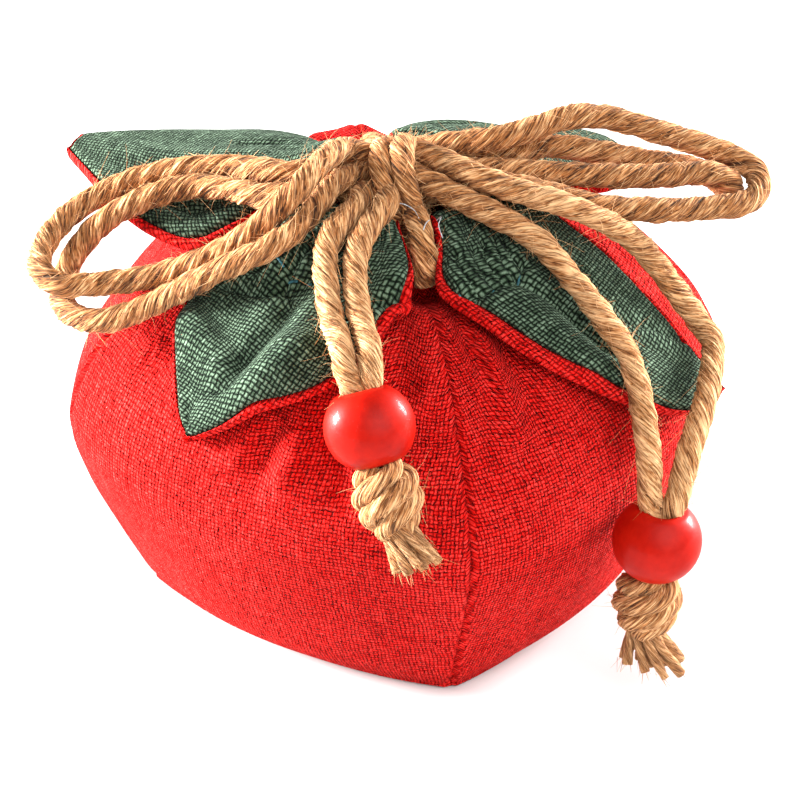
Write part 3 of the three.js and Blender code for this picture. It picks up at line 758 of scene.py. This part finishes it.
body = {
    "frontSeam": 12.6, "goreHalf": 45, "wall": 1.6, "rows": 132, "columns": 90,
    "z": (0, 0, 0, 1.5, 6, 13, 22, 31, 40, 48, 54, 58, 60.2, 61.8),
    "seam": (0.8, 17, 36, 38.6, 41.1, 44.7, 48.5, 50.6, 47.6, 41.7, 35.2, 24.7, 14.6, 11.3),
    "mid": (0.8, 15, 29.5, 33.2, 37.6, 40.9, 44.3, 46.6, 44.4, 38.6, 31.2, 21.9, 13.8, 11),
    "seamDepth": 1.3, "seamWidth": 0.55, "gather": 0.6, "loose": 0.22,
    "threadRadius": 46, "threadSpread": 0.6,  # the threads close up a little where the cloth is gathered
    "ripples": ((17, 0.25, 0.4), (26, 0.4, 2.1), (33, 0.35, 4.0), (43, 0.25, 1.0)),  # count, share, start
}
# broad pleats: azimuth, z, depth, width in degrees, height, lean
bodyPleats = [
    (20, 55, 1.9, 3.6, 9, -0.3), (31, 55, 1.8, 4.4, 9, -0.5), (75, 52, 1, 7, 9, 0), (-14, 46, 1, 5, 9, 0.2),
    (-29, 43, 1.1, 5, 8, 0.1), (-62, 49, 1.2, 6, 8, 0.8), (-97, 52, 1.1, 7, 9, -0.4), (-140, 52, 1.2, 7, 9, 0.2),
    (170, 52, 1.1, 7, 9, -0.2), (128, 52, 1.1, 7, 9, 0.3),
]
# narrow creases: line of (azimuth, z), height outwards, width in mm
bodyCreases = [
    ([(2.3, 58), (2, 55.7), (1.8, 50)], -2.2, 2.1),
    ([(8, 58), (7.6, 54), (7.2, 48)], 1.1, 3.6),
    ([(17, 58), (18.7, 54.5), (20.1, 51.5)], 1.6, 1.4),
    ([(19.3, 57), (20.6, 54.3), (22.4, 51)], -2.0, 1.3),
    ([(22, 57), (25.4, 53.5), (25.8, 50.5), (25.1, 45)], 2.1, 2.4),
    ([(31, 54), (32, 51), (32, 47)], -1.2, 2.8),
    ([(-30.4, 47), (-32.5, 40)], 1.3, 2.2),
    ([(-25.5, 46), (-27, 39)], -1.2, 2.1),
    ([(-21, 46), (-22.5, 39)], 1.2, 2.2),
    ([(-11.7, 49), (-9.2, 38)], -1.3, 2.8),
    ([(-59, 52), (-62, 45)], -1.3, 2.5),
    ([(-68, 54), (-72, 46)], -1.2, 2.5),
]
# puffs of the gathered cloth behind the bow, and the hollow where the cord comes out:
# place as (azimuth, radius, z), height, width
bodyPuffs = [
    ((193.5, 26.6, 57.4), 2.7, 5.0),
    ((207, 27.6, 57), 2.0, 3.2),
    ((12.6, 16.6, 59.6), -4.2, 4.6),
]


def angleFrom(azimuth, at):
    return (azimuth - at + 180) % 360 - 180


def bodyRadius(azimuth, across, t):
    z = np.maximum(0, column(body["z"], t))
    mid, seam = column(body["mid"], t), column(body["seam"], t)
    r = mid + (seam - mid) * across ** 2
    inside = 1 - across ** 6
    for at, level, depth, width, height, lean in bodyPleats:
        aside = angleFrom(azimuth, at + lean * (level - z))
        r = r - depth * bell(aside, width) * bell(z - level, height) * inside
    # small gathers under the neck, pushed inwards only
    ripple = sum(a * np.cos(np.radians(n * azimuth) + p + 0.05 * z) for n, a, p in body["ripples"])
    r = r - body["gather"] * smoothStep(z, 47, 58) * (0.5 + 0.5 * ripple)
    loose = np.sin(np.radians(5 * azimuth) + 0.11 * z) + np.sin(np.radians(9 * azimuth) - 0.17 * z + 1) * 0.7
    r = r - body["loose"] * (1 + loose) * smoothStep(z, 2, 14)
    for line, height, width in bodyCreases:
        at, level = np.array(line, float).T
        aside = np.radians(angleFrom(azimuth, np.interp(z, level[::-1], at[::-1]))) * r
        ends = smoothStep(z, level[-1] - 2, level[-1] + 2.5) * smoothStep(z, level[0] + 2, level[0] - 1)
        r = r + height * bell(aside, width) * ends
    edge = (1 - np.abs(across)) * np.radians(body["goreHalf"]) * r
    r = r - body["seamDepth"] * bell(edge, body["seamWidth"]) * smoothStep(t, 0.08, 0.3)
    return r, z


# way of the cloth from row to row
def slope(r, z):
    dr, dz = np.gradient(r, axis=0), np.gradient(z, axis=0)
    size = np.maximum(np.hypot(dr, dz), 1e-6)
    return dr / size, dz / size


def makeGore(name, centre, node):
    t, u = np.meshgrid(np.linspace(0, 1, body["rows"]), np.linspace(-1, 1, body["columns"]), indexing="ij")
    across = np.sign(u) * (1 - (1 - np.abs(u)) ** 1.25)  # closer columns at the seams
    azimuth = centre + across * body["goreHalf"]
    r, z = bodyRadius(azimuth, across, t)
    for place, height, width in bodyPuffs:
        dr, dz = slope(r, z)
        rise = height * bell(np.linalg.norm(polar(azimuth, r, z) - polar(*place), axis=-1), width)
        r, z = r + rise * dz, z - rise * dr
    dr, dz = slope(r, z)
    outside = polar(azimuth, r, z)
    inside = polar(azimuth, np.maximum(r - dz * body["wall"], 0.3), z + dr * body["wall"])
    middle = body["columns"] // 2
    along = arcLength(np.stack([r[:, middle], z[:, middle]], -1))[:, None] + 0 * r
    wide = np.radians(across * body["goreHalf"])
    spread = body["threadRadius"] * (r / body["threadRadius"]) ** body["threadSpread"]
    piece = clothPiece(name, node, outside, inside, wide * spread, along + centre, redLinen)
    area = wallArea(outside)
    print(name, "area", round(area * 1e4, 1), "cm2, length", round(along[-1, 0], 1), "mm")


gores = {"goreFrontLeft": (-1, "panel_front_left"), "goreFrontRight": (1, "panel_front_right"),
         "goreBackLeft": (-3, "panel_back_left"), "goreBackRight": (3, "panel_back_right")}
for name, (quarter, node) in gores.items():
    makeGore(name, body["frontSeam"] + quarter * body["goreHalf"], node)
print("body sewn")


# leaves round the neck, each a green face on a red back

leafCloth = {
    "layer": 1.0, "gap": 0.5, "tip": 0.9, "length": 60, "gather": 0.55, "roll": 1.15, "rows": 104, "columns": 92,
}
lip = [(11.5, 62.3), (11.4, 64.6), (13.6, 66.4)]  # radius, z
# sections out to the tip: radius, z, azimuth and z of the two edges
# flange: the red that shows past the green at the two edges; blunt: where a rounded tip starts and ends
# folds: share of the half width, width, depth, first and last share of the length
# creases: line of (share of the length, share of the half width), height, width; stitches: both ends alike
leaves = {
    "FrontLeft": {
        "node": "leaf_front_left", "neck": (-75, 2.6), "flange": (0.9, 1.9), "blunt": (0.86, 0.95),
        "sections": [(18, 66, -63, 65, 5.5, 65.5), (24, 63.8, -62, 62.5, 6, 63), (30, 60, -64, 58.2, -2, 59.4),
                     (36, 55, -60.5, 53.4, -12, 54.2), (40, 50, -53, 49.2, -25, 49.6), (43.6, 45, -46, 45, -36, 45),
                     (45.6, 42, -43, 42, -39.4, 42)],
        "folds": [(-0.3, 0.28, 1.3, 0.45, 0.95), (0.55, 0.2, 0.6, 0.3, 0.6)],
        "creases": [
            ([(0.5, -0.04), (0.518, 0.06), (0.58, 0.09), (0.657, 0.08), (0.71, 0.08), (0.765, 0.1)], -2.1, 2.2),
            ([(0.655, 0.44), (0.71, 0.48), (0.77, 0.54)], 2.3, 3.2),
            ([(0.69, -0.78), (0.7, -0.52), (0.715, -0.32), (0.745, -0.08)], 2.1, 2.8),
            ([(0.56, -0.6), (0.552, -0.475), (0.542, -0.344), (0.53, -0.212), (0.51, -0.112)], -1.1, 1.2),
            ([(0.475, -0.36), (0.43, -0.36), (0.385, -0.3)], 1.0, 1.3),
            ([(0.5, -0.17), (0.45, -0.22), (0.4, -0.2)], -1.1, 0.8),
            ([(0.48, -0.06), (0.42, -0.08)], 0.9, 1.2),
            ([(0.49, -0.5), (0.45, -0.52), (0.4, -0.5)], -0.9, 1.0),
            ([(0.54, 0.7), (0.505, 0.8), (0.48, 0.95)], -1.5, 1.2),
            ([(0.58, 0.74), (0.54, 0.88)], 0.9, 1.6),
            ([(0.4, 0.62), (0.44, 0.8)], 1.0, 2.6),
        ],
        "stitches": [[(0.503, -0.15), (0.5, -0.08)], [(0.5, 0.0), (0.5, 0.07)], [(0.487, -0.38), (0.495, -0.32)]],
    },
    "FrontRight": {
        "node": "leaf_front_right", "neck": (22.6, 100), "flange": (2.6, 1.2),
        "sections": [(18, 65.6, 19.5, 64.4, 86, 64.5), (24, 63.2, 14.4, 61.8, 79, 62.5), (30, 59.4, 24.7, 58.4, 77, 59),
                     (36, 54.7, 34, 54, 75, 54.2), (42, 48.8, 44.7, 48.2, 74, 48.2), (47, 43, 55.5, 42.6, 73, 42.6),
                     (50.6, 39, 65, 38.8, 72.5, 38.8)],
        "folds": [(-0.35, 0.22, 0.8, 0.3, 0.8), (0.15, 0.22, 0.8, 0.3, 0.85)],
        "creases": [
            ([(0.47, -0.84), (0.5, -0.77), (0.5, -0.6), (0.492, -0.28), (0.475, -0.07)], -0.9, 0.8),
            ([(0.39, -0.72), (0.49, -0.7)], -0.7, 0.7),
            ([(0.39, -0.52), (0.49, -0.52)], -0.8, 0.7),
            ([(0.39, -0.36), (0.48, -0.37)], -0.8, 0.7),
            ([(0.39, -0.2), (0.48, -0.22)], -0.8, 0.7),
            ([(0.39, -0.05), (0.47, -0.08)], -0.7, 0.7),
            ([(0.5, -0.22), (0.568, -0.19), (0.66, -0.23), (0.715, -0.3)], -1.3, 1.4),
            ([(0.54, -0.5), (0.64, -0.58), (0.74, -0.7)], 1.0, 2.4),
            ([(0.68, 0.19), (0.755, 0.5), (0.81, 0.7)], -0.9, 1.3),
            ([(0.71, 0.1), (0.78, 0.38), (0.83, 0.6)], 0.8, 1.6),
        ],
        "stitches": [[(0.468, -0.85), (0.474, -0.83)], [(0.485, -0.83), (0.497, -0.8)], [(0.505, -0.78), (0.504, -0.7)],
                     [(0.5, -0.62), (0.498, -0.55)], [(0.494, -0.32), (0.492, -0.24)],
                     [(0.486, -0.16), (0.474, -0.07)]],
    },
    "BackLeft": {
        "node": "leaf_back_left", "neck": (-157.4, -80), "lipDrop": (2.4, 0), "flange": (0.9, 1.8),
        "sections": [(18, 65, -150, 61.5, -80, 64.4), (24, 64.4, -148, 60, -74, 62), (30, 63.4, -144, 58.6, -73, 59.6),
                     (36, 62.2, -136, 57.8, -82.5, 59.4), (42, 61.2, -128.5, 57.8, -93.5, 60),
                     (48, 60.2, -121, 58.6, -104, 60), (53.2, 59.6, -115.5, 59.4, -110.5, 59.5)],
        "folds": [(0.4, 0.25, 1, 0.3, 0.85), (-0.35, 0.25, 0.9, 0.3, 0.8)],
        "creases": [
            ([(0.46, 0.6), (0.55, 0.66), (0.62, 0.55)], -1.1, 1.6),
            ([(0.44, 0.1), (0.56, 0.15), (0.7, 0.2)], -0.9, 2.2),
            ([(0.42, -0.4), (0.5, -0.35)], -0.8, 1.2),
        ],
    },
    "BackRight": {
        "node": "leaf_back_right", "neck": (105.2, 182.2), "lipDrop": (0, 1.2), "flange": (0.9, 0.9),
        "sections": [(18, 65, 109, 64.4, 184, 62), (23, 63.4, 107, 62, 177, 60.2), (27, 61.6, 106, 60.4, 167, 58.9),
                     (30.5, 60.2, 107, 59, 152, 58), (34.5, 59, 109, 58, 145, 57.6), (38.4, 58.2, 114, 57.4, 137, 57.2),
                     (41, 57.4, 122, 57.2, 128, 57.2)],
        "folds": [(-0.3, 0.25, 0.9, 0.3, 0.8), (0.35, 0.25, 0.9, 0.3, 0.8)],
        "creases": [
            ([(0.4, 0.5), (0.52, 0.45)], -0.9, 1.5),
            ([(0.42, -0.2), (0.55, -0.2)], -0.8, 1.5),
        ],
    },
}


def leafTable(leaf):
    start, end = leaf["neck"]
    low, high = leaf.get("lipDrop", (0, 0))
    return np.array([(r, z, start, z - low * k / 2, end, z - high * k / 2) for k, (r, z) in enumerate(lip)]
                    + leaf["sections"], float)


# length of a leaf's cloth from the lip to each share of its table
def leafReach(table, t):
    share = np.linspace(0, 1, 240)
    spine = np.stack([column(table[:, k], share) for k in (0, 1)], -1)
    return np.interp(t, share, arcLength(spine))


def lineDistance(x, y, line):
    nearest = np.full(x.shape, 1e9)
    for (ax, ay), (bx, by) in zip(line, line[1:]):
        dx, dy = bx - ax, by - ay
        f = np.clip(((x - ax) * dx + (y - ay) * dy) / (dx ** 2 + dy ** 2 + 1e-9), 0, 1)
        nearest = np.minimum(nearest, np.hypot(x - ax - f * dx, y - ay - f * dy))
    return nearest


# middle surface of a leaf, trimmed is the narrower green face; also the place on the cloth and the
# distance from the red edge over the width of the flange there
def leafSurface(leaf, t, across, trimmed):
    table = leafTable(leaf)
    reach = t * (1 - leafCloth["tip"] / leafCloth["length"]) if trimmed else t
    reach = reach * leaf.get("blunt", (1, 1))[1]
    r, z, start, startZ, end, endZ = (column(table[:, k], reach) for k in range(6))
    if "blunt" in leaf:
        first, last = leaf["blunt"]
        far = np.clip((reach - first) / (last - first), 0, 0.995)
        narrow = (end - start) / 2 * (1 - np.sqrt(1 - far ** 2))
        start, end = start + narrow, end - narrow
    room = np.radians(end - start) * r
    # the flange is narrow at the neck and again near the tip
    taper = (0.3 + 0.7 * smoothStep(reach, 0.36, 0.52)) * (1 - 0.6 * smoothStep(reach, 0.8, 0.92))
    left, right = (np.minimum(width * taper, room / 3) for width in leaf["flange"])
    cutLeft, cutRight = (np.degrees(w / r) if trimmed else 0 * r for w in (left, right))
    azimuth = start + cutLeft + (end - cutRight - start - cutLeft) * (across + 1) / 2
    side = 2 * (azimuth - start) / (end - start) - 1
    x, y = side * room / 2, leafReach(table, reach)
    height = z + np.where(side < 0, startZ - z, endZ - z) * side ** 2
    for at, width, depth, first, last in leaf["folds"]:
        height = height - depth * bell(side - at, width) * bell(reach - (first + last) / 2, (last - first) / 2)
    # radial gathers at the neck, pressed down only
    ripple = np.cos(side * 17 + 1.3 + 2 * reach) * 0.6 + np.cos(side * 27 + leaf["neck"][0]) * 0.4
    gathered = smoothStep(reach, 0.2, 0.3) * smoothStep(reach, 0.55, 0.3)
    height = height - leafCloth["gather"] * gathered * (0.5 + 0.5 * ripple)
    for points, rise, width in leaf["creases"]:
        far, at = np.array(points, float).T
        halfWidth = np.radians(column(table[:, 4], far) - column(table[:, 2], far)) * column(table[:, 0], far) / 2
        line = np.stack([at * halfWidth, leafReach(table, far)], -1)
        height = height + rise * bell(lineDistance(x, y, line), width)
    edges = [(side + 1) * room / 2 / left, (1 - side) * room / 2 / right]
    edges.append((1 - reach) * leafCloth["length"] / leafCloth["tip"])
    return polar(azimuth, r, height), x, y, edges


def leafLayer(leaf, trimmed):
    s, u = np.meshgrid(np.linspace(0, 1, leafCloth["rows"]), np.linspace(-1, 1, leafCloth["columns"]), indexing="ij")
    across = np.sign(u) * (1 - (1 - np.abs(u)) ** 1.6)  # closer rows and columns at the edges
    t = 1 - (1 - s) ** 1.25
    middle, x, y, edges = leafSurface(leaf, t, across, trimmed)
    normal = unit(np.cross(np.gradient(middle, axis=1), np.gradient(middle, axis=0)))  # towards the red side
    half = np.abs(x).max(axis=1, keepdims=True)
    rim = np.minimum((1 - np.abs(across)) * half, (1 - t) * leafCloth["length"])
    return middle, normal, rim, x, y, edges


def rounded(distance, width):
    f = np.clip(distance / width, 0, 1)
    return np.sqrt(f * (2 - f))


def makeLeaf(name, leaf):
    near = leafCloth["gap"] / 2
    middle, normal, rim, x, y, _ = leafLayer(leaf, True)
    top = middle - normal * (near + leafCloth["layer"] * (0.15 + 0.85 * rounded(rim, 1.1)))[..., None]
    low = middle - normal * near
    face = clothPiece("leaf" + name + "Face", leaf["node"] + "_face", low, top, x, y, greenLinen)
    middle, normal, rim, x, y, edges = leafLayer(leaf, False)
    # the red edge is a soft roll beside the green
    roll = np.max([np.sqrt(np.clip(1 - (2 * edge - 1) ** 2, 0, 1)) for edge in edges], axis=0)
    top = middle + normal * (near - leafCloth["roll"] * roll)[..., None]
    low = middle + normal * (near + leafCloth["layer"] * (0.1 + 0.9 * rounded(rim, 0.8)))[..., None]
    back = clothPiece("leaf" + name + "Back", leaf["node"] + "_back", low, top, x, y, redLinen)
    area = wallArea(middle)


# sewing thread along a few points in mm
def makeThread(name, points, radius, material):
    path, _ = smoothRoute(points, 0.25)
    points, quads, uv, _ = twist(path, radius, plies=2, pitch=2, sides=10, lobe=0.2)
    piece = makePiece(name, points, quads.tolist(), uv, "lay", material)


stitch = {"radius": 0.2, "rise": 1.15, "arch": 0.2, "points": 5}


def makeStitches(name, leaf):
    for k, ends in enumerate(leaf.get("stitches", [])):
        t, side = (np.linspace(a, b, stitch["points"]) for a, b in zip(*ends))

        def place(dt, ds):
            return leafSurface(leaf, t + dt, side + ds, False)[0]

        grow = 0.004  # step for the slope of the cloth
        normal = unit(np.cross(place(0, grow) - place(0, -grow), place(grow, 0) - place(-grow, 0)))
        rise = stitch["rise"] + stitch["arch"] * np.sin(np.linspace(0, math.pi, stitch["points"]))
        points = place(0, 0) - normal * rise[:, None]
        makeThread("stitch" + name + str(k + 1), points, stitch["radius"], tealThread)


looseRadius = 0.09
looseThreads = [
    [(4.2, -13.8, 66.4), (4.9, -14.8, 68.4), (4.2, -16.6, 68.6), (3.9, -17.8, 66.6), (4.9, -18.6, 65.2)],
    [(5.6, -12.6, 66.6), (6.6, -13.6, 68.2), (6.2, -15.4, 67.9), (6.8, -16.8, 66.6)],
    [(-4.4, -11.6, 66.8), (-2.4, -12.4, 68.6), (0.6, -12.6, 69.9), (2.6, -13.6, 69.4), (3.4, -15.2, 68.9)],
]


for name, leaf in leaves.items():
    makeLeaf(name, leaf)
    makeStitches(name, leaf)
for k, points in enumerate(looseThreads):
    makeThread("looseThread" + str(k + 1), points, looseRadius, paleThread)
print("leaves sewn on")


# pale floor and soft studio light

studio = {
    "floor": (0.7, 0.7, 0.695),
    "surround": 0.15,  # even light of the room
    "front": 4.4, "frontWay": (0.46, -0.58, 0.67), "frontFocus": 5.0,  # more of it from the front
    "leftLight": {"place": (-0.96, 0.2, 0.22), "size": 0.3, "power": 70},
    "rightLight": {"place": (0.80, 0.55, 0.25), "size": 0.35, "power": 36},
    "aim": 0.04,  # height that both lights point at
}


def makeFloor():
    material, tree = newMaterial("paleFloor")
    place = addNode(tree, "ShaderNodeTexCoord", "Object")
    pale = studio["floor"]
    dim = tuple(0.985 * v for v in pale)
    colour = ramp(tree, noise(tree, place, 30.0), [(0.2, dim), (0.8, pale)])
    setShader(material, {"Base Color": colour, "Roughness": 0.9})
    mesh = bpy.data.meshes.new("floor")
    mesh.from_pydata([(-4, -4, 0), (4, -4, 0), (4, 4, 0), (-4, 4, 0)], [], [(0, 1, 2, 3)])
    mesh.materials.append(material)
    addObject("floor", mesh)


def makeLight(name, light):
    data = bpy.data.lights.new(name, "AREA")
    data.shape = "SQUARE"
    data.size = light["size"]
    data.energy = light["power"]
    lamp = addObject(name, data)
    x, y, z = light["place"]
    lamp.location = (x, y, z)
    lamp.rotation_euler = (math.atan2(math.hypot(x, y), z - studio["aim"]), 0, math.atan2(x, -y))


def makeSurround():
    world = bpy.data.worlds.new("softRoom")
    world.use_nodes = True
    tree = world.node_tree
    way = addNode(tree, "ShaderNodeTexCoord", "Generated")
    x, y, z = (addNode(tree, "ShaderNodeSeparateXYZ", k, Vector=way) * studio["frontWay"][k] for k in range(3))
    ahead = (x + y + z).calc("MAXIMUM", 0.0).calc("POWER", studio["frontFocus"])
    plug(tree, tree.nodes["Background"].inputs["Color"], ahead * studio["front"] + studio["surround"])
    scene.world = world


makeFloor()
makeSurround()
for name in ("leftLight", "rightLight"):
    makeLight(name, studio[name])
scene.view_settings.view_transform = "Standard"
print("studio set")
